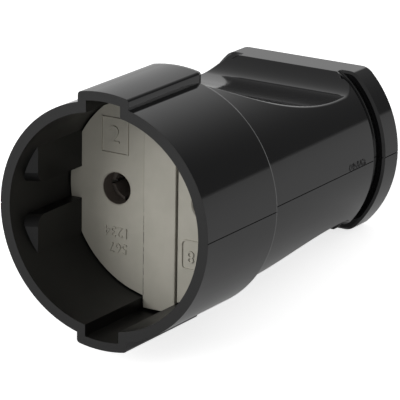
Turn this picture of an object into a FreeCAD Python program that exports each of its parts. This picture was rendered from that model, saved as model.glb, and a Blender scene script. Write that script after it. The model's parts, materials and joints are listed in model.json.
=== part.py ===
import FreeCAD, Part
import math
import os
import re
import Sketcher
from FreeCAD import Placement, Rotation, Vector

# Inline socket connector: two housing shells, a contact carrier and the metal and clamp parts inside.
# Millimetres. Every piece is drawn about the socket's own axis: X runs from the open face to the
# cable end, Y to the left and Z up. The parting plane of the shells is Z = 0. At the end all pieces
# are tipped together into the pose in which the connector lies on a table.

doc = FreeCAD.newDocument("InlineSocket")

# Driving dimensions, each one named and written once.
SIZES = [
    ("collar_radius", 21.5),
    ("collar_wall", 1.95),
    ("well_depth", 18.7),               # open face to the carrier
    ("collar_overlap", 4.5),            # carrier's face to the shoulder
    ("rib_height", 1.8),
    ("rib_side_wall", 1.7),
    ("channel_width", 7.0),
    ("channel_depth", 2.1),
    ("guide_height", 2.65),
    ("guide_start", 4.9),               # open face to the front of a guide's flat
    ("guide_front_run", 1.5),           # how far the front of a guide leans
    ("guide_slot", 5.9),
    ("guide_corner_round", 2.0),
    ("shoulder_step", 1.5),
    ("handle_taper", 0.3),
    ("groove_depth", 1.0),
    ("groove_width", 2.0),
    ("flange_thickness", 5.7),
    ("flange_step", 0.75),
    ("flange_flat", 5.08),              # flange's radius down to its flat top
    ("scoop_radius", 60.0),
    ("scoop_low_setback", 6.4),         # the handle's end to the scoop's deepest line
    ("scoop_end_setback", 4.4),         # the handle's end to the start of the scoop's rear curve
    ("scoop_end_radius", 6.2),
    ("upper_scoop_depth", 7.4),         # handle's radius down to the deepest line
    ("lower_scoop_depth", 8.2),
    ("wall", 2.2),
    ("inlet_radius", 4.5),
    ("inlet_flare", 0.8),
    ("seam_depth", 0.15),               # the fine groove where the shells meet
    ("seam_half_width", 0.1),
    ("shoulder_bevel", 0.3),
    ("rib_round", 0.7),
    ("scoop_bevel", 0.35),
    ("handle_bevel", 0.6),
    ("flange_bevel", 0.45),
    ("flange_corner_round", 3.0),
    ("carrier_gap", 0.25),
    ("carrier_thickness", 3.0),
    ("pin_pitch", 19.0),
    ("pin_hole_radius", 2.9),
    ("pin_hole_bevel", 0.25),
    ("tube_wall", 1.4),
    ("tube_length", 17.7),              # leaves room for a pin 19 mm long
    ("trough_length", 6.0),
    ("trough_half_width", 5.2),
    ("trough_wall", 1.1),
    ("trough_height", 5.2),
    ("strip_side_gap", 0.1),            # strip to the sides of a channel
    ("strip_end_gap", 0.5),             # strip to the bottom of a channel
    ("strip_slot_gap", 0.25),           # strip to the sides of its slot in the carrier
    ("strip_thickness", 2.5),
    ("strip_proud", 0.5),
    ("strip_round", 0.2),
    ("contact_bore", 2.45),
    ("contact_wall", 0.8),
    ("contact_gap", 0.5),               # carrier plate to the mouth of a contact
    ("contact_slit", 0.8),
    ("contact_slit_length", 7.0),
    ("contact_back", 1.0),
    ("tail_thickness", 1.8),
    ("tail_top", 0.6),                  # axis to the face that lies on the trough
    ("spring_start", 2.0),
    ("spring_length", 2.4),
    ("spring_wall", 0.4),
    ("spring_play", 0.05),
    ("spring_gap", 1.2),
    ("wire_plate_gap", 0.3),            # wire plate to the ends of the trough
    ("wire_plate_thickness", 0.9),
    ("wire_plate_margin", 0.2),         # screw head to the edge of the wire plate
    ("screw_radius", 1.45),
    ("screw_play", 0.05),
    ("screw_clearance", 0.25),
    ("screw_slot_width", 0.8),
    ("terminal_head_height", 1.8),
    ("terminal_screw_length", 6.8),
    ("stop_reach", 3.5),                # how far a stop rib overlaps the end of a trough
    ("stop_length", 1.2),
    ("boss_radius", 4.2),
    ("boss_gap", 0.2),                  # stop rib to a screw boss
    ("boss_spacing", 23.0),
    ("housing_head_radius", 2.9),
    ("housing_head_height", 1.9),
    ("housing_head_sink", 2.6),         # deepest line of the lower scoop to the seat of a head
    ("housing_screw_length", 17.0),
    ("head_clearance", 0.25),
    ("pilot_extra", 0.8),
    ("pilot_bevel", 0.3),
    ("clamp_gap", 1.3),                 # screw boss to the clamp
    ("clamp_setback", 1.4),             # middle of the clamp to the handle's end
    ("clamp_spacing", 16.4),
    ("clamp_boss_radius", 2.9),
    ("clamp_seat", 0.2),                # parting plane up to the ends of the clamp bosses
    ("clamp_thickness", 3.2),
    ("clamp_width", 7.0),
    ("clamp_end", 3.3),                 # clamp screw to the end of the bar
    ("clamp_arch_radius", 6.0),
    ("clamp_arch_depth", 1.2),
    ("clamp_head_radius", 2.7),
    ("clamp_head_height", 1.8),
    ("clamp_screw_length", 10.0),
    ("saddle_height", 4.2),
    ("saddle_length", 3.0),
    ("overrun", 1.0),                   # how far a cutting shape passes the face that it opens
]

sheet = doc.addObject("Spreadsheet::Sheet", "Sizes")
for row, (alias, number) in enumerate(SIZES, start=1):
    sheet.set("A%d" % row, str(number))
    sheet.setAlias("A%d" % row, alias)
doc.recompute()
ALIASES = {alias for alias, number in SIZES}


def linked(formula):
    """The formula with each alias written as a reference to the sheet."""
    return re.sub(r"[a-z_]+", lambda word: ("Sizes." if word[0] in ALIASES else "") + word[0], formula)


def value(formula):
    return float(sheet.evalExpression(linked(str(formula))))


def bind(item, **formulas):
    """Ties properties of a feature to the sheet; a double underscore stands for a dot."""
    for name, formula in formulas.items():
        item.setExpression(name.replace("__", "."), linked(str(formula)))
    return item


# Radii, widths and places along the axis that several pieces share.
WELL_RADIUS = "(collar_radius - collar_wall)"
RIB_RADIUS = "(collar_radius + rib_height)"
RIB_WIDTH = "(channel_width + 2 * rib_side_wall)"
CHANNEL_RADIUS = "(collar_radius - collar_wall + channel_depth)"
GUIDE_FLAT = "(collar_radius - collar_wall - guide_height)"
CARRIER_RADIUS = "(collar_radius - collar_wall - carrier_gap)"
HANDLE_FRONT = "(collar_radius - shoulder_step)"
HANDLE_REAR = "(collar_radius - shoulder_step - handle_taper)"
GROOVE_RADIUS = "(%s - groove_depth)" % HANDLE_REAR
FLANGE_RADIUS = "(%s + flange_step)" % HANDLE_REAR
FLANGE_TOP = "(%s - flange_flat)" % FLANGE_RADIUS
UPPER_SCOOP = "(%s - upper_scoop_depth)" % HANDLE_REAR
LOWER_SCOOP = "(%s - lower_scoop_depth)" % HANDLE_REAR
CORE_RADIUS = "(%s - wall)" % HANDLE_REAR
CORE_REAR_RADIUS = "(%s - wall)" % GROOVE_RADIUS
STRIP_WIDTH = "(channel_width - 2 * strip_side_gap)"
STRIP_HALF_LENGTH = "(%s - strip_end_gap)" % CHANNEL_RADIUS
CONTACT_RADIUS = "(contact_bore + contact_wall)"
WIRE_PLATE_SIDE = "(trough_length - 2 * wire_plate_gap)"
TERMINAL_HEAD_RADIUS = "(trough_length / 2 - wire_plate_gap - wire_plate_margin)"
HEAD_SEAT = "(%s - housing_head_sink)" % LOWER_SCOOP

COLLAR_LENGTH = "(well_depth + collar_overlap)"
SEAT_END = "(well_depth + carrier_thickness)"
STRIP_BACK = "(well_depth + strip_thickness - strip_proud)"
TROUGH_START = "(well_depth + carrier_thickness + tube_length)"
TROUGH_END = "(%s + trough_length)" % TROUGH_START
TERMINAL_PLACE = "(%s + trough_length / 2)" % TROUGH_START
BOSS_PLACE = "(%s + stop_length + boss_gap + boss_radius)" % TROUGH_END
CLAMP_PLACE = "(%s + boss_radius + clamp_gap + clamp_width / 2)" % BOSS_PLACE
HANDLE_END = "(%s + clamp_setback)" % CLAMP_PLACE
FLANGE_FRONT = "(%s + groove_width)" % HANDLE_END
FLANGE_REAR = "(%s + flange_thickness)" % FLANGE_FRONT
SCOOP_LOW = "(%s - scoop_low_setback)" % HANDLE_END
SCOOP_END = "(%s - scoop_end_setback)" % HANDLE_END


def newBody(name):
    body = doc.addObject("PartDesign::Body", name)
    body.AllowCompound = True
    return body


def newSketch(body, name, role, offset="0"):
    """A sketch on one of the body's own planes, moved along the plane's normal."""
    plane = next(item for item in body.Origin.OriginFeatures if item.Role == role)
    sketch = body.newObject("Sketcher::SketchObject", name)
    sketch.AttachmentSupport = [(plane, "")]
    sketch.MapMode = "FlatFace"
    return bind(sketch, AttachmentOffset__Base__z=offset)


def tie(sketch, kind, *where, formula):
    """Adds one dimension and ties it to the sheet."""
    sketch.addConstraint(Sketcher.Constraint(kind, *where, value(formula)))
    sketch.setExpression("Constraints[%d]" % (sketch.ConstraintCount - 1), linked(str(formula)))


def arcBetween(first, last, radius, turn):
    """Arc from first to last that turns left (turn 1) or right (turn -1)."""
    chord = last - first
    rise = math.sqrt(radius ** 2 - (chord.Length / 2) ** 2)
    normal = Vector(-chord.y, chord.x, 0).normalize()
    centre = first + chord * 0.5 + normal * rise * turn
    start, end = (first, last) if turn > 0 else (last, first)
    angles = [math.atan2(point.y - centre.y, point.x - centre.x) for point in (start, end)]
    return Part.ArcOfCircle(Part.Circle(centre, Vector(0, 0, 1), radius), *angles)


def drawOutline(sketch, corners, arcs={}):
    """Closed outline through corners given as formulas. arcs maps a corner's number to the radius
    and the turn of the arc that leaves it; every other side is straight."""
    points = [Vector(value(across), value(up), 0) for across, up in corners]
    ends = []
    for number, first in enumerate(points):
        last = points[(number + 1) % len(points)]
        if number in arcs:
            radius, turn = arcs[number]
            side = sketch.addGeometry(arcBetween(first, last, value(radius), turn), False)
            tie(sketch, "Radius", side, formula=radius)
            ends.append((side, 1, 2) if turn > 0 else (side, 2, 1))
        else:
            side = sketch.addGeometry(Part.LineSegment(first, last), False)
            ends.append((side, 1, 2))
    for number, (side, start, end) in enumerate(ends):
        following = ends[(number + 1) % len(ends)]
        sketch.addConstraint(Sketcher.Constraint("Coincident", side, end, following[0], following[1]))
        tie(sketch, "DistanceX", -1, 1, side, start, formula=corners[number][0])
        tie(sketch, "DistanceY", -1, 1, side, start, formula=corners[number][1])
    return sketch


def drawCircle(sketch, across, up, radius):
    centre = Vector(value(across), value(up), 0)
    side = sketch.addGeometry(Part.Circle(centre, Vector(0, 0, 1), value(radius)), False)
    tie(sketch, "Radius", side, formula=radius)
    tie(sketch, "DistanceX", -1, 1, side, 3, formula=across)
    tie(sketch, "DistanceY", -1, 1, side, 3, formula=up)
    return sketch


def drawBox(sketch, left, right, low, high):
    return drawOutline(sketch, [(left, low), (right, low), (right, high), (left, high)])


def revolve(body, sketch, angle=360):
    feature = body.newObject("PartDesign::Revolution", sketch.Name + "Turned")
    feature.Profile = sketch
    feature.ReferenceAxis = (sketch, ["H_Axis"])
    feature.Angle = angle
    return feature


def pad(body, sketch, length, backward=False, both=False):
    feature = body.newObject("PartDesign::Pad", sketch.Name + "Pad")
    feature.Profile = sketch
    feature.Reversed = backward
    feature.SideType = "Symmetric" if both else "One side"
    return bind(feature, Length=length)


def pocket(body, sketch, length=None, forward=False, both=False):
    """A cut along the plane's normal (forward), against it, or both ways; no length cuts through."""
    feature = body.newObject("PartDesign::Pocket", sketch.Name + "Pocket")
    feature.Profile = sketch
    feature.Reversed = forward
    feature.SideType = "Symmetric" if both else "One side"
    if length is None:
        feature.Type = "ThroughAll"
        return feature
    return bind(feature, Length=length)


def mirror(body, features, role="XZ_Plane"):
    """The same features again on the other side of one of the body's planes."""
    plane = next(item for item in body.Origin.OriginFeatures if item.Role == role)
    feature = body.newObject("PartDesign::Mirrored", features[0].Name + "Mirrored")
    feature.Originals = features
    feature.MirrorPlane = (plane, [""])
    body.Tip = feature
    return feature


def pickEdges(body, wanted, name):
    """The edges of the body's last feature for which wanted(edge) is true."""
    doc.recompute()
    base = body.Tip
    edges = ["Edge%d" % number for number, edge in enumerate(base.Shape.Edges, start=1) if wanted(edge)]
    if not edges:
        raise RuntimeError("no edges for " + name)
    return base, edges


def roundEdges(body, radius, wanted, name):
    base = pickEdges(body, wanted, name)
    feature = body.newObject("PartDesign::Fillet", name)
    feature.Base = base
    return bind(feature, Radius=radius)


def bevelEdges(body, size, wanted, name):
    base = pickEdges(body, wanted, name)
    feature = body.newObject("PartDesign::Chamfer", name)
    feature.Base = base
    return bind(feature, Size=size)


def samples(edge, test):
    """True where test holds at four points along the edge."""
    first, last = edge.ParameterRange
    return all(test(edge.valueAt(first + (last - first) * share)) for share in (0.1, 0.35, 0.65, 0.9))


def liesAt(edge, x=None, radius=None, height=None, within=0.02):
    """True where the edge keeps the given x, distance from the axis and height."""
    return samples(edge, lambda point: (x is None or abs(point.x - x) < within)
                   and (radius is None or abs(math.hypot(point.y, point.z) - radius) < within)
                   and (height is None or abs(point.z - height) < within))


def isCircle(edge):
    return edge.Curve.TypeId == "Part::GeomCircle"


# The scoop's floor is one wide arc; its rear curve leaves it without a break and climbs to the
# flange. All heights are measured from the axis.
def scoopHeight(height, x, inset="0"):
    reach = "(scoop_radius + %s)" % inset
    return "(%s + scoop_radius - sqrt(%s^2 - (%s - %s)^2))" % (height, reach, SCOOP_LOW, x)


def scoopOutline(body, name, height):
    """Everything above the scoop and above the flange's flat top."""
    lean = "((scoop_low_setback - scoop_end_setback) / scoop_radius)"
    centreX = "(%s - scoop_end_radius * %s)" % (SCOOP_END, lean)
    centreZ = "(%s + scoop_end_radius * sqrt(1 - %s^2))" % (scoopHeight(height, SCOOP_END), lean)
    topX = "(%s + sqrt(scoop_end_radius^2 - (%s - %s)^2))" % (centreX, centreZ, FLANGE_TOP)
    top = RIB_RADIUS + " + overrun"
    corners = [
        (COLLAR_LENGTH, top),
        (COLLAR_LENGTH, scoopHeight(height, COLLAR_LENGTH)),
        (SCOOP_END, scoopHeight(height, SCOOP_END)),
        (topX, FLANGE_TOP),
        (FLANGE_REAR + " + overrun", FLANGE_TOP),
        (FLANGE_REAR + " + overrun", top),
    ]
    sketch = newSketch(body, name, "XZ_Plane")
    return drawOutline(sketch, corners, {1: ("scoop_radius", 1), 2: ("scoop_end_radius", 1)})


def cutSeam(body, side):
    """The fine groove round the outside, half of it in each shell, along the parting plane."""
    outside = RIB_RADIUS + " + overrun"
    corners = [
        ("-overrun", "collar_radius - seam_depth"),
        (COLLAR_LENGTH + " - seam_depth", "collar_radius - seam_depth"),
        (COLLAR_LENGTH + " - seam_depth", HANDLE_FRONT + " - seam_depth"),
        (HANDLE_END + " - seam_depth", HANDLE_REAR + " - seam_depth"),
        (HANDLE_END + " - seam_depth", GROOVE_RADIUS + " - seam_depth"),
        (FLANGE_FRONT + " + seam_depth", GROOVE_RADIUS + " - seam_depth"),
        (FLANGE_FRONT + " + seam_depth", FLANGE_RADIUS + " - seam_depth"),
        (FLANGE_REAR + " + overrun", FLANGE_RADIUS + " - seam_depth"),
        (FLANGE_REAR + " + overrun", outside),
        ("-overrun", outside),
    ]
    sketch = drawOutline(newSketch(body, side + "Seam", "XY_Plane"), corners)
    mirror(body, [pocket(body, sketch, "seam_half_width", forward=True)])


def buildOuter(side, height):
    """Half of the housing's outer form, solid, with its flat on the parting plane."""
    body = newBody(side + "Outer")
    profile = [
        ("0", "0"),
        ("0", "collar_radius"),
        (COLLAR_LENGTH, "collar_radius"),
        (COLLAR_LENGTH, HANDLE_FRONT),
        (HANDLE_END + " - handle_bevel", HANDLE_REAR),
        (HANDLE_END, HANDLE_REAR + " - handle_bevel"),
        (HANDLE_END, GROOVE_RADIUS),
        (FLANGE_FRONT, GROOVE_RADIUS),
        (FLANGE_FRONT, FLANGE_RADIUS),
        (FLANGE_REAR, FLANGE_RADIUS),
        (FLANGE_REAR, "0"),
    ]
    sketch = newSketch(body, side + "Profile", "XY_Plane")
    revolve(body, drawOutline(sketch, profile), angle=180)

    pocket(body, scoopOutline(body, side + "Scoop", height), both=True)

    half = "(%s / 2)" % RIB_WIDTH
    corner = "sqrt(%s^2 - %s^2)" % (RIB_RADIUS, half)
    root = "(collar_radius - collar_wall / 2)"
    rib = newSketch(body, side + "Rib", "YZ_Plane")
    corners = [("-" + half, root), (half, root), (half, corner), ("-" + half, corner)]
    pad(body, drawOutline(rib, corners, {2: (RIB_RADIUS, 1)}), COLLAR_LENGTH)

    front, shoulder = value(HANDLE_FRONT), value(COLLAR_LENGTH)
    end = value(HANDLE_END + " - handle_bevel")
    slope = (value(HANDLE_REAR) - front) / (end - shoulder)
    roundEdges(body, "flange_corner_round", lambda edge: edge.BoundBox.XLength > 2 and liesAt(
        edge, radius=value(FLANGE_RADIUS), height=value(FLANGE_TOP)), side + "Corners")
    roundEdges(body, "rib_round", lambda edge: edge.BoundBox.XLength > shoulder / 2
               and liesAt(edge, height=value(corner)), side + "RibEdges")
    bevelEdges(body, "scoop_bevel", lambda edge: not liesAt(edge, height=0) and samples(
        edge, lambda point: shoulder + 0.1 < point.x < end - 0.01 and abs(
            math.hypot(point.y, point.z) - front - slope * (point.x - shoulder)) < 0.02), side + "ScoopEdges")
    bevelEdges(body, "flange_bevel", lambda edge: liesAt(edge, x=value(FLANGE_REAR))
               and not liesAt(edge, height=0), side + "FlangeRear")
    bevelEdges(body, "flange_bevel", lambda edge: liesAt(edge, x=value(FLANGE_FRONT),
               radius=value(FLANGE_RADIUS)), side + "FlangeFront")
    bevelEdges(body, "shoulder_bevel", lambda edge: liesAt(edge, x=shoulder, radius=value("collar_radius")),
               side + "Shoulder")
    cutSeam(body, side)
    return body


def buildCore(side, height):
    """The space inside half of the housing: well, channel, guides, cavity and cable inlet."""
    body = newBody(side + "Core")
    rear = FLANGE_REAR + " - wall"
    profile = [
        ("-overrun", "0"),
        ("-overrun", WELL_RADIUS),
        (SEAT_END, WELL_RADIUS),
        (SEAT_END, CORE_RADIUS),
        (HANDLE_END + " - wall", CORE_RADIUS),
        (HANDLE_END + " - wall", CORE_REAR_RADIUS),
        (rear, CORE_REAR_RADIUS),
        (rear, "inlet_radius"),
        (FLANGE_REAR + " - inlet_flare", "inlet_radius"),
        (FLANGE_REAR, "inlet_radius + inlet_flare"),
        (FLANGE_REAR + " + overrun", "inlet_radius + inlet_flare"),
        (FLANGE_REAR + " + overrun", "0"),
    ]
    revolve(body, drawOutline(newSketch(body, side + "CoreProfile", "XY_Plane"), profile), angle=180)

    ceiling = [
        (COLLAR_LENGTH, RIB_RADIUS),
        (COLLAR_LENGTH, scoopHeight(height, COLLAR_LENGTH, "wall")),
        (SCOOP_LOW, height + " - wall"),
        (rear + " + overrun", height + " - wall"),
        (rear + " + overrun", RIB_RADIUS),
    ]
    sketch = newSketch(body, side + "Ceiling", "XZ_Plane")
    pocket(body, drawOutline(sketch, ceiling, {1: ("scoop_radius + wall", 1)}), both=True)

    corner = "sqrt(%s^2 - (channel_width / 2)^2)" % CHANNEL_RADIUS
    corners = [("-channel_width / 2", "0"), ("channel_width / 2", "0"), ("channel_width / 2", corner),
               ("-channel_width / 2", corner)]
    channel = newSketch(body, side + "Channel", "YZ_Plane", "-overrun")
    pad(body, drawOutline(channel, corners, {2: (CHANNEL_RADIUS, 1)}), STRIP_BACK + " + overrun")

    outside = "(%s + overrun)" % WELL_RADIUS
    lean = "(guide_front_run / guide_height)"
    guide = newSketch(body, side + "Guide", "XY_Plane", "guide_slot / 2")
    drawOutline(guide, [("guide_start", GUIDE_FLAT), ("well_depth", GUIDE_FLAT), ("well_depth", outside),
                        ("guide_start - %s * (guide_height + overrun)" % lean, outside)])
    stop = newSketch(body, side + "Stop", "XY_Plane")
    drawBox(stop, TROUGH_END, TROUGH_END + " + stop_length",
            "pin_pitch / 2 + trough_half_width - stop_reach", HANDLE_FRONT)
    boss = newSketch(body, side + "Boss", "XY_Plane")
    drawCircle(boss, BOSS_PLACE, "boss_spacing / 2", "boss_radius")
    kept = [pocket(body, sketch, forward=True) for sketch in (guide, stop, boss)]
    mirror(body, kept)
    low, start = value("guide_slot / 2"), value("guide_start")
    roundEdges(body, "guide_corner_round", lambda edge: liesAt(edge, height=low) and samples(
        edge, lambda point: abs(point.x - start) < value("guide_front_run") + 0.05), side + "GuideCorners")
    return body


def buildShell(label, side, height, details):
    """Half of the housing: outer form less the space inside, then the details of that half."""
    hollow = doc.addObject("Part::Cut", side + "Hollow")
    hollow.Base = buildOuter(side, height)
    hollow.Tool = buildCore(side, height)
    doc.recompute()
    body = newBody(side + "Shell")
    body.BaseFeature = hollow
    doc.recompute()
    details(body, side)
    body.Label = label
    return body


def upperDetails(body, side):
    """Pilot holes for the housing screws, bosses for the clamp screws and the cord saddle."""
    pilot = newSketch(body, side + "Pilot", "XY_Plane")
    drawCircle(pilot, BOSS_PLACE, "boss_spacing / 2", "screw_radius + screw_play")
    depth = "housing_screw_length - %s + pilot_extra" % HEAD_SEAT
    mirror(body, [pocket(body, pilot, depth, forward=True)])
    bevelEdges(body, "pilot_bevel", lambda edge: isCircle(edge) and liesAt(edge, height=0)
               and abs(edge.Curve.Radius - value("screw_radius + screw_play")) < 0.02, side + "PilotBevel")

    ceiling = "(%s - wall / 2)" % UPPER_SCOOP
    boss = newSketch(body, side + "ClampBoss", "XY_Plane", "clamp_seat")
    drawCircle(boss, CLAMP_PLACE, "clamp_spacing / 2", "clamp_boss_radius")
    bossPad = pad(body, boss, ceiling + " - clamp_seat")
    hole = newSketch(body, side + "ClampPilot", "XY_Plane", "clamp_seat")
    drawCircle(hole, CLAMP_PLACE, "clamp_spacing / 2", "screw_radius + screw_play")
    depth = "clamp_screw_length - clamp_thickness + pilot_extra"
    mirror(body, [bossPad, pocket(body, hole, depth, forward=True)])

    saddle = newSketch(body, side + "Saddle", "XY_Plane", "saddle_height")
    half = "(clamp_spacing / 2 - screw_radius - screw_play - screw_clearance)"
    drawBox(saddle, CLAMP_PLACE + " - saddle_length / 2", CLAMP_PLACE + " + saddle_length / 2",
            "-" + half, half)
    pad(body, saddle, ceiling + " - saddle_height")


def lowerDetails(body, side):
    """Clearance holes for the housing screws, sunk from outside for their heads."""
    clearance = newSketch(body, side + "Clearance", "XY_Plane")
    drawCircle(clearance, BOSS_PLACE, "boss_spacing / 2", "screw_radius + screw_clearance")
    sunk = newSketch(body, side + "Sunk", "XY_Plane", HEAD_SEAT)
    drawCircle(sunk, BOSS_PLACE, "boss_spacing / 2", "housing_head_radius + head_clearance")
    mirror(body, [pocket(body, sketch, forward=True) for sketch in (clearance, sunk)])


def buildCarrier():
    """Disc with the pin holes and the strip's slot; a tube and an open trough behind each hole."""
    body = newBody("Carrier")
    disc = drawCircle(newSketch(body, "CarrierDisc", "YZ_Plane", "well_depth"), "0", "0", CARRIER_RADIUS)
    pad(body, disc, "carrier_thickness")

    slot = newSketch(body, "CarrierSlot", "YZ_Plane", "well_depth")
    half, reach = "(%s / 2 + strip_slot_gap)" % STRIP_WIDTH, "(%s + overrun)" % CARRIER_RADIUS
    drawBox(slot, "-" + half, half, "-" + reach, reach)
    pocket(body, slot, "strip_thickness - strip_proud", forward=True)

    pin = "pin_pitch / 2"
    inside = "(%s + spring_play * 2 + spring_wall + screw_play)" % CONTACT_RADIUS
    tube = newSketch(body, "CarrierTube", "YZ_Plane", SEAT_END)
    drawCircle(tube, pin, "0", inside + " + tube_wall")
    tubePad = pad(body, tube, "tube_length")
    trough = newSketch(body, "CarrierTrough", "YZ_Plane", TROUGH_START)
    left, right = pin + " - trough_half_width", pin + " + trough_half_width"
    drawBox(trough, left, right, "-tail_thickness", "trough_height")
    troughPad = pad(body, trough, "trough_length")
    tail = newSketch(body, "CarrierTail", "YZ_Plane", TROUGH_START)
    drawBox(tail, left + " + trough_wall", right + " - trough_wall", "-tail_thickness - overrun", "tail_top")
    tailCut = pocket(body, tail, forward=True)
    bore = newSketch(body, "CarrierBore", "YZ_Plane", SEAT_END)
    drawCircle(bore, pin, "0", inside)
    boreCut = pocket(body, bore, "tube_length", forward=True)
    tip = newSketch(body, "CarrierTip", "XY_Plane")
    drawCircle(tip, TERMINAL_PLACE, pin, "screw_radius + screw_clearance")
    tipCut = pocket(body, tip, forward=True)
    hole = newSketch(body, "CarrierHole", "YZ_Plane", SEAT_END)
    drawCircle(hole, pin, "0", "pin_hole_radius")
    holeCut = pocket(body, hole)
    mirror(body, [tubePad, troughPad, tailCut, boreCut, tipCut, holeCut])

    depth, radius = value("well_depth"), value("pin_hole_radius")
    bevelEdges(body, "pin_hole_bevel", lambda edge: isCircle(edge) and liesAt(edge, x=depth)
               and abs(edge.Curve.Radius - radius) < 0.01, "CarrierHoleEdges")
    body.Label = "contact_carrier"
    return body


def buildStrip():
    """Strip down the middle of the carrier; its ends close the two channels."""
    body = newBody("Strip")
    face = newSketch(body, "StripFace", "YZ_Plane", "well_depth - strip_proud")
    drawBox(face, "-%s / 2" % STRIP_WIDTH, STRIP_WIDTH + " / 2", "-" + STRIP_HALF_LENGTH, STRIP_HALF_LENGTH)
    pad(body, face, "strip_thickness")
    front = value("well_depth - strip_proud")
    roundEdges(body, "strip_round", lambda edge: liesAt(edge, x=front), "StripEdges")
    body.Label = "blanking_strip"
    return body


def buildContact(side):
    """Split brass sleeve that grips a pin, with a flat tail for the wire's terminal."""
    body = newBody(side.capitalize() + "Contact")
    start = SEAT_END + " + contact_gap"
    profile = [
        (start, "contact_bore"),
        (start, CONTACT_RADIUS),
        (TROUGH_START, CONTACT_RADIUS),
        (TROUGH_START, "0"),
        (TROUGH_START + " - contact_back", "0"),
        (TROUGH_START + " - contact_back", "contact_bore"),
    ]
    revolve(body, drawOutline(newSketch(body, side + "Sleeve", "XY_Plane"), profile))
    slit = newSketch(body, side + "Slit", "YZ_Plane", start)
    drawBox(slit, "-contact_slit / 2", "contact_slit / 2", "-contact_bore * 2", "contact_bore * 2")
    slitCut = pocket(body, slit, "contact_slit_length", forward=True)
    doc.recompute()
    cross = body.newObject("PartDesign::PolarPattern", side + "SlitCross")
    cross.Originals = [slitCut]
    cross.Axis = (next(item for item in body.Origin.OriginFeatures if item.Role == "X_Axis"), [""])
    cross.Angle = 90
    cross.Occurrences = 2
    body.Tip = cross
    tail = newSketch(body, side + "Tail", "XY_Plane", "tail_top")
    half = "(trough_half_width - trough_wall - screw_play)"
    drawBox(tail, TROUGH_START, TROUGH_END, "-" + half, half)
    pad(body, tail, "tail_thickness", backward=True)
    hole = newSketch(body, side + "TailHole", "XY_Plane", "tail_top")
    drawCircle(hole, TERMINAL_PLACE, "0", "screw_radius + screw_play")
    pocket(body, hole)
    body.Label = side + "_contact"
    return body


def buildSpring(side):
    """Open steel ring that presses the sleeve's fingers together."""
    body = newBody(side.capitalize() + "Spring")
    start = SEAT_END + " + contact_gap + spring_start"
    inner = "(%s + spring_play)" % CONTACT_RADIUS
    ring = newSketch(body, side + "Ring", "YZ_Plane", start)
    drawCircle(ring, "0", "0", inner + " + spring_wall")
    drawCircle(ring, "0", "0", inner)
    pad(body, ring, "spring_length")
    opening = newSketch(body, side + "RingGap", "YZ_Plane", start)
    drawBox(opening, "-spring_gap / 2", "spring_gap / 2", "0", inner + " + spring_wall + overrun")
    pocket(body, opening, forward=True)
    body.Label = side + "_contact_spring"
    return body


def buildWirePlate(side):
    """Square plate that the terminal screw presses on the wire."""
    body = newBody(side.capitalize() + "WirePlate")
    top = "(tail_top - tail_thickness)"
    half = "(%s / 2)" % WIRE_PLATE_SIDE
    plate = newSketch(body, side + "Plate", "XY_Plane", top)
    drawBox(plate, "%s - %s" % (TERMINAL_PLACE, half), "%s + %s" % (TERMINAL_PLACE, half), "-" + half, half)
    pad(body, plate, "wire_plate_thickness", backward=True)
    hole = newSketch(body, side + "PlateHole", "XY_Plane", top)
    drawCircle(hole, TERMINAL_PLACE, "0", "screw_radius + screw_play")
    pocket(body, hole)
    body.Label = side + "_wire_plate"
    return body


def buildScrew(label, length, headRadius, headHeight, crossed):
    """Screw with the underside of its head at the origin and its shank along +Z."""
    name = "".join(word.capitalize() for word in label.split("_"))
    body = newBody(name)
    head = drawCircle(newSketch(body, name + "Head", "XY_Plane"), "0", "0", headRadius)
    pad(body, head, headHeight, backward=True)
    shank = drawCircle(newSketch(body, name + "Shank", "XY_Plane"), "0", "0", "screw_radius")
    pad(body, shank, length)
    slot = newSketch(body, name + "Slot", "XY_Plane", "-" + headHeight)
    reach = "(%s %s)" % (headRadius, "* 0.7" if crossed else "+ overrun")
    drawBox(slot, "-" + reach, reach, "-screw_slot_width / 2", "screw_slot_width / 2")
    slotCut = pocket(body, slot, headHeight + " * 0.5", forward=True)
    if crossed:
        doc.recompute()
        cross = body.newObject("PartDesign::PolarPattern", name + "Cross")
        cross.Originals = [slotCut]
        cross.Axis = (next(item for item in body.Origin.OriginFeatures if item.Role == "Z_Axis"), [""])
        cross.Angle = 90
        cross.Occurrences = 2
        body.Tip = cross
    bevelEdges(body, headHeight + " * 0.25", lambda edge: isCircle(edge) and liesAt(
        edge, height=-value(headHeight)), name + "Dome")
    body.Label = label
    return body


def buildClamp():
    """Bar that holds the cord up against the saddle, hollowed across its middle."""
    body = newBody("Clamp")
    half = "(clamp_spacing / 2 + clamp_end)"
    bar = newSketch(body, "ClampBar", "YZ_Plane", CLAMP_PLACE)
    arch = "sqrt(clamp_arch_radius^2 - (clamp_arch_radius - clamp_arch_depth)^2)"
    low = "clamp_seat - clamp_thickness"
    corners = [("-" + half, low), (half, low), (half, "clamp_seat"), (arch, "clamp_seat"),
               ("-" + arch, "clamp_seat"), ("-" + half, "clamp_seat")]
    drawOutline(bar, corners, {3: ("clamp_arch_radius", -1)})
    pad(body, bar, "clamp_width", both=True)
    hole = newSketch(body, "ClampHole", "XY_Plane", "clamp_seat")
    drawCircle(hole, CLAMP_PLACE, "clamp_spacing / 2", "screw_radius + screw_clearance")
    mirror(body, [pocket(body, hole)])
    end = value(half)
    roundEdges(body, "clamp_width / 2.5", lambda edge: abs(abs(edge.BoundBox.Center.y) - end) < 0.02
               and edge.BoundBox.ZLength > 1, "ClampEnds")
    body.Label = "cord_clamp"
    return body


shapes = []


def put(body, x="0", y="0", z="0", turn=None):
    """Notes where a piece goes about the socket's axis."""
    shapes.append((body, Placement(Vector(value(x), value(y), value(z)), turn or Rotation())))


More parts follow.
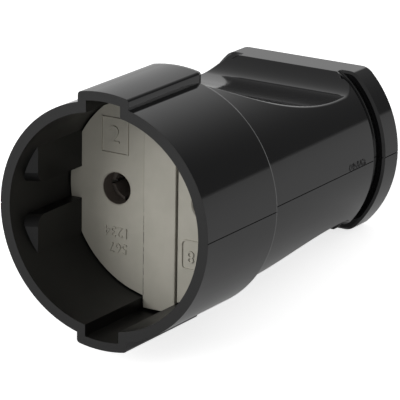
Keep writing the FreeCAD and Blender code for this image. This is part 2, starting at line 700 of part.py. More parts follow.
put(buildShell("upper_shell", "Upper", UPPER_SCOOP, upperDetails))
put(buildShell("lower_shell", "Lower", LOWER_SCOOP, lowerDetails),
    turn=Rotation(Vector(1, 0, 0), 180))
put(buildCarrier())
put(buildStrip())
for side, sign in (("left", ""), ("right", "-")):
    put(buildContact(side), y=sign + "pin_pitch / 2")
    put(buildSpring(side), y=sign + "pin_pitch / 2")
    put(buildWirePlate(side), y=sign + "pin_pitch / 2")
    put(buildScrew(side + "_terminal_screw", "terminal_screw_length", TERMINAL_HEAD_RADIUS,
                   "terminal_head_height", crossed=False),
        TERMINAL_PLACE, sign + "pin_pitch / 2", "tail_top - tail_thickness - wire_plate_thickness")
put(buildClamp())
for side, sign in (("left", ""), ("right", "-")):
    put(buildScrew(side + "_clamp_screw", "clamp_screw_length", "clamp_head_radius",
                   "clamp_head_height", crossed=False),
        CLAMP_PLACE, sign + "clamp_spacing / 2", "clamp_seat - clamp_thickness")
    put(buildScrew(side + "_housing_screw", "housing_screw_length", "housing_head_radius",
                   "housing_head_height", crossed=True),
        BOSS_PLACE, sign + "boss_spacing / 2", "-" + HEAD_SEAT)

# At rest the connector lies on the back edge of its lower rib and on the bevelled edge of its flange.
# The tilt brings both to the table, and the shift puts the origin under the middle of the whole.
doc.recompute()
tilt = math.atan2(value("%s - %s" % (RIB_RADIUS, FLANGE_TOP)),
                  value("%s - flange_bevel - %s" % (FLANGE_REAR, COLLAR_LENGTH)))
lean = Rotation(Vector(0, 1, 0), math.degrees(tilt))
for body, place in shapes:
    body.Placement = Placement(Vector(), lean).multiply(place)
doc.recompute()
box = Part.makeCompound([body.Shape for body, place in shapes]).optimalBoundingBox()
shift = Vector(-box.Center.x, -box.Center.y, -box.ZMin)
for body, place in shapes:
    body.Placement = Placement(shift, lean).multiply(place)
doc.recompute()

failed = [item.Name for item in doc.Objects if "Invalid" in item.State or "Error" in item.State]
if failed:
    raise RuntimeError("failed: " + ", ".join(failed))
for body, place in shapes:
    if body.Shape.isNull() or not body.Shape.isValid() or len(body.Shape.Solids) != 1:
        raise RuntimeError("%s is not one valid solid" % body.Label)

os.makedirs("parts", exist_ok=True)
for body, place in shapes:
    body.Shape.exportStep(os.path.join("parts", body.Label + ".step"))
    size = body.Shape.optimalBoundingBox()
    print("%-22s %8.1f mm3  %5.1f x %5.1f x %5.1f" % (body.Label, body.Shape.Volume, size.XLength,
                                                      size.YLength, size.ZLength))
print("tilt %.2f degrees, box %.2f x %.2f x %.2f" % (math.degrees(tilt), box.XLength, box.YLength,
                                                     box.ZLength))
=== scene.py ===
import bpy, bmesh, json, math
import numpy as np
from mathutils import Matrix, Vector


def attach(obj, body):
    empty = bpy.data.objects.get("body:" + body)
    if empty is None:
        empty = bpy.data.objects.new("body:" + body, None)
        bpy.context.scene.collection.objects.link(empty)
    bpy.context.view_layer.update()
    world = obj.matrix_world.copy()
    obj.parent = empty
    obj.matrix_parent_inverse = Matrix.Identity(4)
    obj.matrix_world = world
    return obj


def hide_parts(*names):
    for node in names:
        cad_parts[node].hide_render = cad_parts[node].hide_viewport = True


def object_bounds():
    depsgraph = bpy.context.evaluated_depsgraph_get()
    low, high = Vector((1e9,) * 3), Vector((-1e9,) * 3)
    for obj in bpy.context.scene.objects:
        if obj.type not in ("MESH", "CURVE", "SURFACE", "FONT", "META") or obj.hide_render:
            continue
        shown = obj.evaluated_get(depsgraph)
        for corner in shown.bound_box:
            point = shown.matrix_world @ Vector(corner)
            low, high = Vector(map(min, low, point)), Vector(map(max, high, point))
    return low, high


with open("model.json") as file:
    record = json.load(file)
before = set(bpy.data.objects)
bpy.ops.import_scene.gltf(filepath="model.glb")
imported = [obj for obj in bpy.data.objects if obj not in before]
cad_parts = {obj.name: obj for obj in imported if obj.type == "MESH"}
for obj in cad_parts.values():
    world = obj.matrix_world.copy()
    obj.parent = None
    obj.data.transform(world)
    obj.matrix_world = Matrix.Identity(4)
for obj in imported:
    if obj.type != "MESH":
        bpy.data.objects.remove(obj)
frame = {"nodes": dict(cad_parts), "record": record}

cadBox = [list(corner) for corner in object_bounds()]
print("model loaded:", len(frame["nodes"]), "nodes")

# The connector lies on the back edge of its lower rib and on its flange, so the socket's own axis dips
# towards the cable end. Places are given in metres along that axis (x), to its left (y) and above it (z).
form = {
    "collar": 0.0215,                  # radius
    "shoulder": 0.0232,                # open face to the shoulder
    "ribTop": 0.0233,                  # axis to the top of a rib
    "ribHalf": 0.0052,                 # half a rib's width
    "ribRound": 0.0007,                # round of a rib's outer edges
    "carrierFace": 0.0187,             # open face to the carrier
    "strip": 0.0034,                   # half the blanking strip's width
    "pin": 0.0095,                     # each pin hole from the middle
    "handle": (0.0200, 0.0197),        # radius at the shoulder and at the end
    "handleEnd": 0.0614,               # place where the handle's groove starts
    "flange": 0.02045,                 # radius
    "flangeTop": 0.01537,              # axis to the flange's flats
    "flangeRound": 0.003,              # round of the flange's four corners
    "flangeFoot": 0.06865,             # where the flange touches the table
    "scoopRadius": 0.06,
    "scoopLow": 0.055,                 # place of a scoop's deepest line
    "scoopEnd": 0.057,                 # place where its rear curve starts
    "scoopRearRadius": 0.0062,
    "scoopHeights": (0.0123, -0.0115),    # the upper and the lower scoop's deepest line
    "screws": ((0.0424, 0.0095), (0.051, 0.0115), (0.06, 0.0082)),    # place, and distance to each side
}
tilt = math.atan2(form["ribTop"] - form["flangeTop"], form["flangeFoot"] - form["shoulder"])
openFace = (cadBox[0][0] + form["ribTop"] * math.sin(tilt), 0.0,
            form["shoulder"] * math.sin(tilt) + form["ribTop"] * math.cos(tilt))
axisToTable = Matrix.Translation(openFace) @ Matrix.Rotation(tilt, 4, "Y")


class Sock:
    # a shader socket that takes part in sums, so that shader maths reads as an expression
    def __init__(self, tree, socket):
        self.tree, self.socket = tree, socket

    def __add__(self, other):
        return self.tree.maths("ADD", self, other)

    def __radd__(self, other):
        return self.tree.maths("ADD", other, self)

    def __sub__(self, other):
        return self.tree.maths("SUBTRACT", self, other)

    def __rsub__(self, other):
        return self.tree.maths("SUBTRACT", other, self)

    def __mul__(self, other):
        return self.tree.maths("MULTIPLY", self, other)

    def __rmul__(self, other):
        return self.tree.maths("MULTIPLY", other, self)

    def __abs__(self):
        return self.tree.maths("ABSOLUTE", self)

    def __gt__(self, other):
        # 1 where it is greater, and else 0
        return self.tree.maths("GREATER_THAN", self, other)

    def __lt__(self, other):
        return self.tree.maths("LESS_THAN", self, other)

    def __or__(self, other):
        # the greater of the two
        return self.tree.maths("MAXIMUM", self, other)

    def ramp(self, low, high):
        # 0 at low, 1 at high, eased at both ends
        return self.tree.node("ShaderNodeMapRange", {"interpolation_type": "SMOOTHSTEP"},
                              {"Value": self, "From Min": low, "From Max": high})


class Tree:
    # the nodes of one material or of the world
    def __init__(self, owner):
        owner.use_nodes = True
        self.owner, self.nodes, self.links = owner, owner.node_tree.nodes, owner.node_tree.links
        self.nodes.clear()

    def node(self, kind, settings={}, inputs={}, output=0):
        # a node's type, its settings, the values or links of its sockets, and the output to go on from
        node = self.nodes.new(kind)
        for name, setting in settings.items():
            setattr(node, name, setting)
        for name, term in inputs.items():
            if isinstance(term, Sock):
                self.links.new(term.socket, node.inputs[name])
            else:
                node.inputs[name].default_value = term
        return Sock(self, node.outputs[output]) if len(node.outputs) else node

    def maths(self, operation, *terms):
        return self.node("ShaderNodeMath", {"operation": operation}, dict(enumerate(terms)))

    def noise(self, place, scale, detail=2.0, roughness=0.5, stretch=None):
        if stretch:
            place = self.node("ShaderNodeMapping", {}, {"Vector": place, "Scale": stretch})
        return self.node("ShaderNodeTexNoise", {}, {"Vector": place, "Scale": scale, "Detail": detail,
                                                    "Roughness": roughness})

    def cloud(self, place, between, **pattern):
        # noise that is 0 below the first of two levels and 1 above the second
        return self.noise(place, **pattern).ramp(*between)

    def blend(self, share, first, second):
        # colour between first and second
        return self.node("ShaderNodeMix", {"data_type": "RGBA"}, {0: share, 6: first, 7: second}, 2)

    def bump(self, height, depth, under=None):
        inputs = {"Height": height, "Distance": depth}
        if under:
            inputs["Normal"] = under
        return self.node("ShaderNodeBump", {}, inputs)

    def parts(self, vector):
        # a vector's x, y and z
        first = self.node("ShaderNodeSeparateXYZ", inputs={"Vector": vector})
        return [Sock(self, output) for output in first.socket.node.outputs]

    def alongAxis(self):
        # place along the socket's axis, and its x, y and z
        table = self.node("ShaderNodeTexCoord", output="Object")
        place = self.node("ShaderNodeMapping", {"vector_type": "TEXTURE"},
                          {"Vector": table, "Location": openFace, "Rotation": (0, tilt, 0)})
        return place, *self.parts(place)

    def principled(self, **inputs):
        # a socket's name is written with an underscore for each space
        inputs = {name.replace("_", " "): term for name, term in inputs.items()}
        shader = self.node("ShaderNodeBsdfPrincipled", {}, inputs)
        self.node("ShaderNodeOutputMaterial", {}, {"Surface": shader})
        return self.owner


def newTree(name):
    return Tree(bpy.data.materials.new(name))


def rgb(red, green, blue):
    return (red, green, blue, 1.0)


housingFinish = {
    "colour": rgb(0.0062, 0.0062, 0.0066),
    # a darker black for the rim, and painted shade in the well
    "innerColourWithShade": rgb(0.003, 0.003, 0.003),
    "gloss": 0.055,         # roughness outside
    "rimGloss": 0.46,       # roughness of the rim
    "wellGloss": 0.38,      # roughness of the well and its channels
    "ior": 1.385,
    # the rim's and the well's depth, the well's radius, and half the width and the reach of the
    # channels under the ribs and of the slots between the guides
    "inside": {"rim": 0.00012, "depth": 0.0222, "radius": 0.0201, "channels": (0.0036, 0.0218),
               "slots": (0.0031, 0.0205)},
    "smudge": {"scale": 240.0, "detail": 4.0, "roughness": 0.62, "between": (0.42, 0.75)},
    "scratch": {"scale": 1.0, "stretch": (160.0, 2300.0, 2300.0), "between": (0.66, 0.73)},
    "dulls": {"smudge": 0.03, "scratch": 0.04, "innerSmudge": 0.04},    # added to the roughness
    "waves": {"scale": 95.0, "detail": 1.0},        # the slow waves that cooling leaves
    "wavesDepth": 0.000012,
    "grain": {"scale": 2600.0, "detail": 3.0, "roughness": 0.6},
    "grainDepth": 0.0000006,
    # the collar's rear edge starts to fall away a little in front of its bevel
    "edge": {"bevel": 0.0003, "width": 0.00026, "depth": 0.00006, "margin": 0.0001},
    # the groove's floor: half its width, how deep it is cut, how near a place is, how hollow it looks
    "groove": {"half": 0.001, "cut": 0.001, "within": 0.0001, "depth": 0.0005},
    # a burr where a tool touched the seam near the end of the grip, on the socket's right
    "scuff": {"from": 0.0513, "to": 0.0578, "height": 0.0015, "depth": 0.0005, "right": 0.019,
              "aboveSeam": 0.00005, "fades": 0.7, "fadesUp": 0.4},
    "chips": {"scale": 1300.0, "detail": 3.0, "roughness": 0.75, "stretch": (2.0, 1.0, 0.7),
              "between": (0.47, 0.55)},
}


def softEdge(x, radius):
    # the edge falls away with the square of the way into it
    edge = housingFinish["edge"]
    start = form["shoulder"] - edge["bevel"]
    into = (x - (start - edge["width"])) * (1 / edge["width"]) | 0.0
    return into * into * (radius > form["collar"] - edge["margin"]) * (x < start + edge["margin"])


def grooveFloor(x, radius):
    # the groove's floor is a shallow hollow: its height is the square of the way from its middle
    groove = housingFinish["groove"]
    across = (x - (form["handleEnd"] + groove["half"])) * (1 / groove["half"])
    onFloor = abs(radius - (form["handle"][1] - groove["cut"])) < groove["within"]
    return across * across * (abs(across) < 1) * onFloor


def scuffedSeam(x, y, z):
    # 1 in the middle of the burr, thinning out along the seam and up from it
    scuff = housingFinish["scuff"]
    middle, half = (scuff["from"] + scuff["to"]) / 2, (scuff["to"] - scuff["from"]) / 2
    along = (1 - abs(x - middle).ramp(scuff["fades"] * half, half)) * (z > scuff["aboveSeam"])
    up = 1 - z.ramp(scuff["fadesUp"] * scuff["height"], scuff["height"])
    return along * up * (y < -scuff["right"])


def makeHousing():
    values = housingFinish
    tree = newTree("housingPlastic")
    place, x, y, z = tree.alongAxis()
    radius = tree.maths("SQRT", y * y + z * z)
    # the rim and the well are duller than the outside, and a darker black; in the well this darker black is
    # painted shade
    inside, dulls = values["inside"], values["dulls"]
    rim = x < inside["rim"]
    half, reach = inside["channels"]
    channels = (abs(y) < half) * (abs(z) < reach)
    half, reach = inside["slots"]
    slots = (abs(z) < half) * (abs(y) < reach)
    well = ((radius < inside["radius"]) | channels | slots) * (x < inside["depth"])
    inner = rim | well
    smudge = tree.cloud(place, **values["smudge"])
    scratch = tree.cloud(place, **values["scratch"])
    outside = values["gloss"] + dulls["smudge"] * smudge + dulls["scratch"] * scratch
    dull = rim * values["rimGloss"] + (1 - rim) * values["wellGloss"] + dulls["innerSmudge"] * smudge
    normal = tree.bump(tree.noise(place, **values["waves"]), values["wavesDepth"])
    normal = tree.bump(grooveFloor(x, radius), values["groove"]["depth"], normal)
    normal = tree.bump(tree.noise(place, **values["grain"]), values["grainDepth"], normal)
    normal = tree.bump(0 - softEdge(x, radius), values["edge"]["depth"], normal)
    burr = scuffedSeam(x, y, z) * tree.cloud(place, **values["chips"])
    normal = tree.bump(burr, values["scuff"]["depth"], normal)
    return tree.principled(Base_Color=tree.blend(inner, values["colour"], values["innerColourWithShade"]),
                           Roughness=outside * (1 - inner) + dull * inner, Normal=normal,
                           IOR=values["ior"])


carrierFinish = {
    "colour": rgb(0.485, 0.464, 0.399),
    "shade": rgb(0.438, 0.421, 0.359),
    "cloud": {"scale": 160.0, "detail": 3.0, "roughness": 0.55, "between": (0.3, 0.72)},
    "roughness": 0.45,
    "cloudDulls": 0.1,
    "ior": 1.45,
    "grain": {"scale": 3800.0, "roughness": 0.7},
    "grainDepth": 0.000003,
    # the pin holes' walls, darkened with painted shade inside the holes
    "hole": {"colour": rgb(0.16, 0.135, 0.115), "radius": 0.00305, "below": 0.0002},
    # flash beside the strip's left edge: its middle's way in, half its width, how far it wavers, and
    # the heights between which it thins out
    "flash": {"colour": rgb(0.13, 0.122, 0.108), "inset": 0.00012, "half": 0.00009, "sway": 0.00025,
              "fades": (-0.007, 0.0005)},
    "waver": {"scale": 900.0, "stretch": (0, 0, 1)},
    "breaks": {"scale": 700.0, "stretch": (0, 0, 1), "between": (0.38, 0.5)},
}


def makeCarrier():
    values = carrierFinish
    tree = newTree("carrierPlastic")
    place, x, y, z = tree.alongAxis()
    cloud = tree.cloud(place, **values["cloud"])
    hole = values["hole"]
    # painted shade: the pin holes' walls are darker than the carrier, behind its face
    offPin = abs(y) - form["pin"]
    paintedHoleShade = tree.maths("SQRT", offPin * offPin + z * z) < hole["radius"]
    paintedHoleShade = paintedHoleShade * (x > form["carrierFace"] + hole["below"])
    # a broken line that wavers a little, below the pin holes
    flash = values["flash"]
    waver = (tree.noise(place, **values["waver"]) - 0.5) * flash["sway"]
    line = abs(y - (form["strip"] - flash["inset"]) - waver) < flash["half"]
    line = line * tree.cloud(place, **values["breaks"]) * (1 - z.ramp(*flash["fades"]))
    colour = tree.blend(cloud, values["colour"], values["shade"])
    colour = tree.blend(paintedHoleShade, tree.blend(line, colour, flash["colour"]), hole["colour"])
    return tree.principled(Base_Color=colour, IOR=values["ior"],
                           Roughness=values["roughness"] + values["cloudDulls"] * cloud,
                           Normal=tree.bump(tree.noise(place, **values["grain"]), values["grainDepth"]))


metalFinish = {
    "brass": {"bright": rgb(0.25, 0.19, 0.12), "dull": rgb(0.12, 0.092, 0.06), "roughness": 0.48},
    "steel": {"bright": rgb(0.56, 0.57, 0.59), "dull": rgb(0.36, 0.37, 0.4), "roughness": 0.3},
    "tarnish": {"scale": 420.0, "detail": 4.0, "roughness": 0.6, "between": (0.38, 0.74)},
    "tarnishDulls": 0.2,
    "turning": {"scale": 1.0, "detail": 1.0, "stretch": (9000.0, 500.0, 500.0)},
    "turningDepth": 0.000003,
    # the contact sleeves are dark brown and not metallic at their mouths, up to between these places
    "mouth": {"colour": rgb(0.13, 0.11, 0.095), "until": (0.0265, 0.0315)},
}


def makeMetal(name):
    values, metal = metalFinish, metalFinish[name]
    tree = newTree(name)
    place, x, y, z = tree.alongAxis()
    tarnish = tree.cloud(place, **values["tarnish"])
    colour, metallic = tree.blend(tarnish, metal["bright"], metal["dull"]), 1.0
    if name == "brass":
        # dark brown and not metallic towards the mouth
        metallic = x.ramp(*values["mouth"]["until"])
        colour = tree.blend(metallic, values["mouth"]["colour"], colour)
    return tree.principled(Base_Color=colour, Metallic=metallic,
                           Roughness=metal["roughness"] + values["tarnishDulls"] * tarnish,
                           Normal=tree.bump(tree.noise(place, **values["turning"]), values["turningDepth"]))


clampFinish = {
    "colour": rgb(0.02, 0.02, 0.021),
    "worn": rgb(0.032, 0.032, 0.033),
    "cloud": {"scale": 300.0, "detail": 3.0, "between": (0.35, 0.7)},
    "roughness": 0.5,
    "cloudDulls": 0.12,
    "ior": 1.45,
    "grain": {"scale": 3000.0},
    "grainDepth": 0.000006,
}


def makeClamp():
    values = clampFinish
    tree = newTree("clampPlastic")
    place = tree.alongAxis()[0]
    cloud = tree.cloud(place, **values["cloud"])
    return tree.principled(Base_Color=tree.blend(cloud, values["colour"], values["worn"]),
                           Roughness=values["roughness"] + values["cloudDulls"] * cloud, IOR=values["ior"],
                           Normal=tree.bump(tree.noise(place, **values["grain"]), values["grainDepth"]))


finishes = {"black_plastic": makeHousing(), "grey_plastic": makeCarrier(), "brass": makeMetal("brass"),
            "steel": makeMetal("steel"), "clamp_plastic": makeClamp()}
print("finishes made:", len(finishes))


shading = {
    "joinWithin": 0.0000015,   # corners nearer than this are one
    "onFace": 0.000006,        # how far a corner may lie off a turned face
    "margin": 0.000008,        # how far a radius may be off
    "axisReach": 0.025,        # greatest radius of a face about the socket's axis
    "pinReach": 0.0042,        # greatest radius about a pin hole's axis
    "screwReach": 0.0043,      # greatest radius about a screw's axis
    "roundFrom": 0.75,         # least radius at a flange corner, as a share of its round
    "turnWithin": 9.0,         # how far a triangle may lean from the face that it stands for
    "bevelWithin": 40.0,       # a bevel takes the shading of neighbours up to this angle
    "crease": 15.0,            # elsewhere, sharper edges than this stay crisp
    "neighbours": 24,          # how many normals at one point are tried
    "flatArea": 0.000003,      # a plane of more than this area is shaded flat
    "facingSteps": 300,        # how finely the facings of planes are told apart
    "distanceSteps": 50000,    # and their distances, in steps to a metre
}


def turnedFaces():
    # The model's curved faces: each the line that it turns about, as a point and a direction, its
    # slope, which is how fast it widens along the line, and its least and greatest radius. The
    # flange's corners are a list of their own.
    ahead, across, up = np.eye(3)
    wide, narrow = form["handle"]
    taper = (narrow - wide) / (form["handleEnd"] - form["shoulder"])
    margin, reach = shading["margin"], shading["axisReach"]
    axis = ((0, 0, 0), ahead)
    faces = [(*axis, taper, narrow - margin, wide + margin), (*axis, 0, 0, narrow - margin),
             (*axis, 0, wide + margin, reach), (*axis, 1, 0, reach), (*axis, -1, 0, reach)]
    ribOut = form["ribHalf"] - form["ribRound"]
    ribUp = math.sqrt((form["ribTop"] - form["ribRound"]) ** 2 - ribOut ** 2)
    for side in (1, -1):
        for slope in (0, 1, -1):
            faces.append(((0, side * form["pin"], 0), ahead, slope, 0, shading["pinReach"]))
            faces += [((x, side * y, 0), up, slope, 0, shading["screwReach"]) for x, y in form["screws"]]
        for over in (1, -1):
            place = (0, side * ribOut, over * ribUp)
            faces.append((place, ahead, 0, form["ribRound"] - margin, form["ribRound"] + margin))
    big, small = form["scoopRadius"], form["scoopRearRadius"]
    lean = (form["scoopEnd"] - form["scoopLow"]) / big
    rearUp = big * (1 - math.sqrt(1 - lean ** 2)) + small * math.sqrt(1 - lean ** 2)
    for low in form["scoopHeights"]:
        way = math.copysign(1, low)
        faces.append(((form["scoopLow"], 0, low + way * big), across, 0, big - margin, big + margin))
        place = (form["scoopEnd"] - small * lean, 0, low + way * rearUp)
        faces.append((place, across, 0, small - margin, small + margin))
    corner = form["flangeRound"]
    cornerUp = form["flangeTop"] - corner
    cornerOut = math.sqrt((form["flange"] - corner) ** 2 - cornerUp ** 2)
    corners = [((0, side * cornerOut, over * cornerUp), ahead, slope, shading["roundFrom"] * corner,
                corner + margin) for side in (1, -1) for over in (1, -1) for slope in (0, 1, -1)]
    return faces, corners


def onTurnedFace(face, corners, facing):
    # The exact normals at the corners of triangles that lie on a turned face: at each corner the
    # direction away from its line, less the slope times the line's own direction. Also whether each
    # triangle lies on the face.
    spot, direction, slope, least, greatest = face
    offset = corners - np.array(spot)
    run = offset @ direction
    away = offset - run[..., None] * direction
    radius = np.linalg.norm(away, axis=2)
    exact = away / np.maximum(radius, 1e-9)[..., None] - slope * direction
    exact *= np.sign((exact.sum(axis=1) * facing).sum(axis=1))[:, None, None]
    exact /= np.maximum(np.linalg.norm(exact, axis=2), 1e-9)[..., None]
    fits = np.ptp(radius - slope * run, axis=1) < shading["onFace"]
    fits &= (radius.min(axis=1) >= least) & (radius.max(axis=1) <= greatest)
    leaning = (exact * facing[:, None]).sum(axis=2).min(axis=1)
    return exact, fits & (leaning > math.cos(math.radians(shading["turnWithin"])))


def creased(exact, corners):
    # The flange's corners are crisper than their round: each normal turns to the flange's flat or to
    # its rim, whichever is nearer, and keeps its share of the way along the axis.
    flat = np.zeros_like(exact)
    flat[..., 2] = np.sign(corners[..., 2])
    rim = corners * (0, 1, 1)
    rim /= np.linalg.norm(rim, axis=2)[..., None]
    nearRim = (exact * rim).sum(axis=2) > (exact * flat).sum(axis=2)
    turned = np.where(nearRim[..., None], rim, flat) * np.sqrt(1 - exact[..., :1] ** 2)
    turned[..., 0] = exact[..., 0]
    return turned


def onLargePlane(corners, facing, area):
    # Whether a triangle lies on a large plane. Triangles of one plane share a facing and a distance
    # from the open face's middle.
    distance = (corners.mean(axis=1) * facing).sum(axis=1)
    key = np.column_stack([facing * shading["facingSteps"], distance * shading["distanceSteps"]])
    plane = np.unique(np.round(key), axis=0, return_inverse=True)[1].ravel()
    return np.bincount(plane, area)[plane] > shading["flatArea"]


def nearestNormals(points, normals, facing, source, target):
    # Normals for the corners of the target triangles: of the source triangles' normals at the same
    # point, the one nearest to the target triangle's own facing, or else the corner's own.
    fromSource, fromTarget = np.repeat(source, 3), np.repeat(target, 3)
    order = np.argsort(points[fromSource], kind="stable")
    sourcePoint, sourceNormal = points[fromSource][order], normals[fromSource][order]
    targetPoint, targetFacing = points[fromTarget], np.repeat(facing[target], 3, axis=0)
    best, chosen = np.full(len(targetPoint), -1.0), normals[fromTarget]
    first = np.searchsorted(sourcePoint, targetPoint)
    for step in range(shading["neighbours"] if len(sourcePoint) else 0):
        entry = np.minimum(first + step, len(sourcePoint) - 1)
        near = (sourceNormal[entry] * targetFacing).sum(axis=1)
        better = (sourcePoint[entry] == targetPoint) & (near > best)
        better &= near > math.cos(math.radians(shading["bevelWithin"]))
        best[better], chosen[better] = near[better], sourceNormal[entry][better]
    return chosen


def shadeExactly(mesh):
    # Corner normals from the faces that the triangles stand for: turned faces and large planes have
    # their exact ones, and a bevel takes those of the turned faces beside it.
    count = len(mesh.polygons)
    places = np.empty(len(mesh.vertices) * 3)
    mesh.vertices.foreach_get("co", places)
    points = np.empty(count * 3, dtype=np.int64)
    mesh.loops.foreach_get("vertex_index", points)
    normals = np.empty(count * 9)
    mesh.corner_normals.foreach_get("vector", normals)
    turn = np.array(axisToTable.to_3x3())
    corners = ((places.reshape(-1, 3) - np.array(openFace)) @ turn)[points].reshape(-1, 3, 3)
    normals = (normals.reshape(-1, 3) @ turn).reshape(-1, 3, 3)
    facing = np.cross(corners[:, 1] - corners[:, 0], corners[:, 2] - corners[:, 0])
    area = np.linalg.norm(facing, axis=1) / 2
    facing /= np.maximum(2 * area, 1e-18)[:, None]
    exactOnes = np.zeros(count, dtype=bool)
    turned, flangeCorners = turnedFaces()
    for number, face in enumerate(turned + flangeCorners):
        exact, fits = onTurnedFace(face, corners, facing)
        fits &= ~exactOnes
        exactOnes |= fits
        normals[fits] = exact[fits] if number < len(turned) else creased(exact[fits], corners[fits])
    flat = ~exactOnes & onLargePlane(corners, facing, area)
    normals[flat] = facing[flat][:, None]
    normals = normals.reshape(-1, 3)
    others = ~(exactOnes | flat)
    normals[np.repeat(others, 3)] = nearestNormals(points, normals, facing, exactOnes, others)
    mesh.normals_split_custom_set(normals @ turn.T)
    return exactOnes.mean()


dressedSlots = {entry["node"]: entry["material_slot"] for entry in frame["record"]["subparts"]}


def dress(node):
    # a joined copy of a node's triangles, shaded as the faces that they stand for
    piece = bpy.data.objects.new("dressed_" + node, frame["nodes"][node].data.copy())
    bpy.context.scene.collection.objects.link(piece)
    mesh = piece.data
    mesh.name = piece.name
    work = bmesh.new()
    work.from_mesh(mesh)
    bmesh.ops.remove_doubles(work, verts=work.verts, dist=shading["joinWithin"])
    work.to_mesh(mesh)
    work.free()
    mesh.materials.clear()
    mesh.materials.append(finishes[dressedSlots[node]])
    mesh.shade_smooth()
    mesh.set_sharp_from_angle(angle=math.radians(shading["crease"]))
    share = shadeExactly(mesh)
    print("dressed %s, %.0f%% of its triangles on turned faces" % (node, 100 * share))
    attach(piece, "root")
    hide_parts(node)


for node in sorted(frame["nodes"]):
    dress(node)


carrierMarks = {
    "height": 0.00024,
    "sunk": 0.3,               # how far the marks reach into the carrier, as a share of their height
    "lineWidth": 0.00032,
    "lineTop": 0.6,            # width of a line's top, as a share of its foot
    "cornerSteps": 6,
    "frames": (    # middle is (y, z)
        {"middle": (0.0098, 0.00975), "halfWidth": 0.0028, "halfHeight": 0.00325, "corner": 0.0002},
        {"middle": (-0.0078, -0.00965), "halfWidth": 0.0032, "halfHeight": 0.00265, "corner": 0.0008},
    ),
    "numbers": (    # a turned one stands on its head
        {"text": "2", "middle": (0.0098, 0.00975), "size": 0.0046, "turned": False},
        {"text": "1234", "middle": (0.0093, -0.0080), "size": 0.0027, "turned": True},
        {"text": "567", "middle": (0.0090, -0.0110), "size": 0.0027, "turned": True},
        {"text": "8", "middle": (-0.0064, -0.00985), "size": 0.0032, "turned": True},
    ),
}


def frameRidge(middle, halfWidth, halfHeight, corner):
    # A low ridge along a rounded rectangle. Its path is a corner's centre plus the corner's radius
    # times (cos a, sin a), for a over four quarter turns, and its section is a trapezium on the path.
    values = carrierMarks
    turn = np.linspace(0, math.pi / 2, values["cornerSteps"] + 1)
    quarters = np.concatenate([turn + k * math.pi / 2 for k in range(4)])
    cornerY = np.repeat([1, -1, -1, 1], len(turn)) * (halfWidth - corner)
    cornerZ = np.repeat([1, 1, -1, -1], len(turn)) * (halfHeight - corner)
    away = np.stack([np.cos(quarters), np.sin(quarters)], axis=1)
    offsets = np.array([-1, -values["lineTop"], values["lineTop"], 1]) * values["lineWidth"] / 2
    heights = np.array([-values["sunk"], 1, 1, -values["sunk"]]) * values["height"]
    path = np.stack([cornerY, cornerZ], axis=1)[:, None] + away[:, None] * (corner + offsets)[None, :, None]
    points = np.empty((len(quarters), 4, 3))
    points[..., 0] = form["carrierFace"] - heights
    points[..., 1:] = path + np.array(middle)
    ring = np.arange(len(quarters))[:, None] * 4 + np.arange(4)
    following, beside = np.roll(ring, -1, axis=0), np.roll(ring, -1, axis=1)
    faces = np.stack([ring, beside, np.roll(following, -1, axis=1), following], axis=-1).reshape(-1, 4)
    return points.reshape(-1, 3), faces


def numberRelief(text, middle, size, turned):
    # a plain number as a low relief that faces the socket's opening
    height, sunk = carrierMarks["height"], carrierMarks["sunk"]
    curve = bpy.data.curves.new("number", "FONT")
    curve.body, curve.size = text, size
    curve.align_x, curve.align_y = "CENTER", "CENTER"
    curve.extrude = height * (1 + sunk) / 2
    holder = bpy.data.objects.new("number", curve)
    bpy.context.scene.collection.objects.link(holder)
    mesh = bpy.data.meshes.new_from_object(holder.evaluated_get(bpy.context.evaluated_depsgraph_get()))
    bpy.data.objects.remove(holder)
    # the number's right is the socket's -y and its front is -x
    faceOn = Matrix(((0, 0, -1, 0), (-1, 0, 0, 0), (0, 1, 0, 0), (0, 0, 0, 1)))
    place = Matrix.Translation((form["carrierFace"] - height * (1 - sunk) / 2, *middle))
    mesh.transform(axisToTable @ place @ faceOn @ Matrix.Rotation(math.pi if turned else 0, 4, "Z"))
    return mesh


def makeMarks():
    # the carrier's two moulded frames and its plain numbers, in one piece
    work = bmesh.new()
    for shape in carrierMarks["frames"]:
        points, faces = frameRidge(**shape)
        mesh = bpy.data.meshes.new("frameRidge")
        mesh.from_pydata(points, [], faces)
        mesh.transform(axisToTable)
        work.from_mesh(mesh)
    for number in carrierMarks["numbers"]:
        work.from_mesh(numberRelief(**number))
    bmesh.ops.recalc_face_normals(work, faces=work.faces)
    mesh = bpy.data.meshes.new("carrierMarks")
    work.to_mesh(mesh)
    work.free()
    mesh.materials.append(finishes["grey_plastic"])
    piece = bpy.data.objects.new("carrierMarks", mesh)
    bpy.context.scene.collection.objects.link(piece)
    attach(piece, "root")


makeMarks()
print("carrier marked")


studio = {
    "floorSize": 3.0,
    "floorColour": rgb(0.86, 0.86, 0.86),
    "cameraGlow": 0.75,         # added to the lit floor where the camera sees it
    "glossGlow": 0.18,          # and where a glossy face mirrors it
    "worldLight": 0.72,
    # the dark card's tones at its foot, on its face and at its far end, the azimuths in degrees
    # between which it stands, and the azimuth from which it brightens
    "card": {"tones": (0.5, 0.17, 1.0), "footHeight": 0.04, "height": 2.6, "distance": 1.6,
             "azimuths": (-100.0, 22.0), "brightens": -32.0, "steps": 48},
}


def lightPaths(tree):
    # rays from the camera or through glass, and glossy rays
    first = tree.node("ShaderNodeLightPath", output="Is Camera Ray")
    gloss, through = (Sock(tree, first.socket.node.outputs[name])
                      for name in ("Is Glossy Ray", "Is Transmission Ray"))
    return first | through, gloss


def floorMaterial():
    tree = newTree("floorWhite")
    seen, gloss = lightPaths(tree)
    strength = seen * studio["cameraGlow"] + gloss * studio["glossGlow"]
    glow = tree.node("ShaderNodeEmission", {}, {"Strength": strength})
    matte = tree.node("ShaderNodeBsdfDiffuse", {}, {"Color": studio["floorColour"]})
    both = tree.node("ShaderNodeAddShader", {}, {0: matte, 1: glow})
    tree.node("ShaderNodeOutputMaterial", {}, {"Surface": both})
    return tree.owner


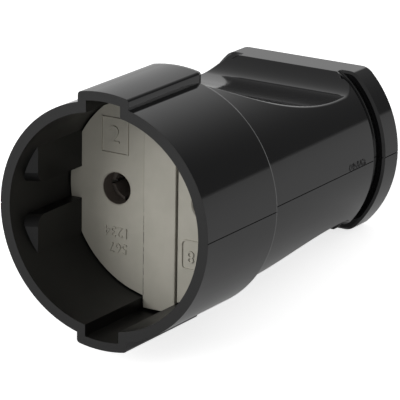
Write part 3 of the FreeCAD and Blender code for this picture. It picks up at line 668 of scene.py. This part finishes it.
def cardMaterial():
    # the card's tone falls quickly above its foot and rises slowly towards its far end
    tree = newTree("cardGrey")
    card = studio["card"]
    x, y, height = tree.parts(tree.node("ShaderNodeTexCoord", output="Object"))
    azimuth = tree.maths("ARCTAN2", y, x) * (180 / math.pi)
    foot, face, end = card["tones"]
    low = height.ramp(0.0, card["footHeight"])
    tone = foot + (face - foot) * low + (end - face) * azimuth.ramp(card["brightens"], card["azimuths"][1])
    glow = tree.node("ShaderNodeEmission", {}, {"Strength": tone})
    tree.node("ShaderNodeOutputMaterial", {}, {"Surface": glow})
    return tree.owner


def stagePiece(name, points, faces, material):
    mesh = bpy.data.meshes.new(name)
    mesh.from_pydata(points, [], faces)
    mesh.materials.append(material)
    piece = bpy.data.objects.new(name, mesh)
    bpy.context.scene.collection.objects.link(piece)
    return piece


def makeFloor():
    size = studio["floorSize"]
    corners = [(-size, -size, 0), (size, -size, 0), (size, size, 0), (-size, size, 0)]
    stagePiece("floor", corners, [(0, 1, 2, 3)], floorMaterial())


def makeCard():
    # Dark card on the housing's right: an upright band of a cylinder about the object, so that each
    # point is (distance cos a, distance sin a, height) for a over the card's azimuths.
    card = studio["card"]
    steps, distance = card["steps"], card["distance"]
    angles = np.radians(np.linspace(*card["azimuths"], steps + 1))
    a, h = np.meshgrid(angles, (0.0, card["height"]))
    points = np.stack([distance * np.cos(a), distance * np.sin(a), h], axis=-1).reshape(-1, 3)
    first = np.arange(steps)
    above = first + steps + 1
    faces = np.stack([first, first + 1, above + 1, above], axis=1)
    piece = stagePiece("darkCard", points, faces, cardMaterial())
    piece.visible_camera = piece.visible_diffuse = piece.visible_shadow = False


def makeWorld():
    world = bpy.data.worlds.new("studioWhite")
    bpy.context.scene.world = world
    tree = Tree(world)
    seen, gloss = lightPaths(tree)
    light = studio["worldLight"]
    back = tree.node("ShaderNodeBackground", {}, {"Strength": light + (seen | gloss) * (1 - light)})
    tree.node("ShaderNodeOutputWorld", {}, {"Surface": back})


keyLight = {"place": (-0.8, 0.5, 0.42), "target": (-0.02, 0.0, 0.025), "size": 0.6, "power": 4.2}


def makeLamp(name, values):
    lamp = bpy.data.lights.new(name, "AREA")
    lamp.shape, lamp.size, lamp.energy = "DISK", values["size"], values["power"]
    holder = bpy.data.objects.new(name, lamp)
    aim = (Vector(values["place"]) - Vector(values["target"])).to_track_quat("Z", "Y")
    holder.matrix_world = Matrix.Translation(values["place"]) @ aim.to_matrix().to_4x4()
    bpy.context.scene.collection.objects.link(holder)


view = {
    "place": (-0.43773, -0.29284, 0.26452),
    "turn": (64.7216, 4.4322, -58.1497),    # degrees
    "lens": 288.3757,       # millimetres
    "sensor": 36.0,         # the sensor's width in millimetres
    "clip": (0.01, 20.0),   # nearest and farthest distance that it sees
}


def makeCamera():
    camera = bpy.data.cameras.new("camera")
    camera.lens, camera.sensor_width = view["lens"], view["sensor"]
    camera.clip_start, camera.clip_end = view["clip"]
    holder = bpy.data.objects.new("camera", camera)
    holder.location = view["place"]
    holder.rotation_euler = [math.radians(angle) for angle in view["turn"]]
    bpy.context.scene.collection.objects.link(holder)
    bpy.context.scene.camera = holder


makeFloor()
makeCard()
makeWorld()
makeLamp("keyLight", keyLight)
makeCamera()
bpy.context.scene.view_settings.view_transform = "Standard"
print("studio set")
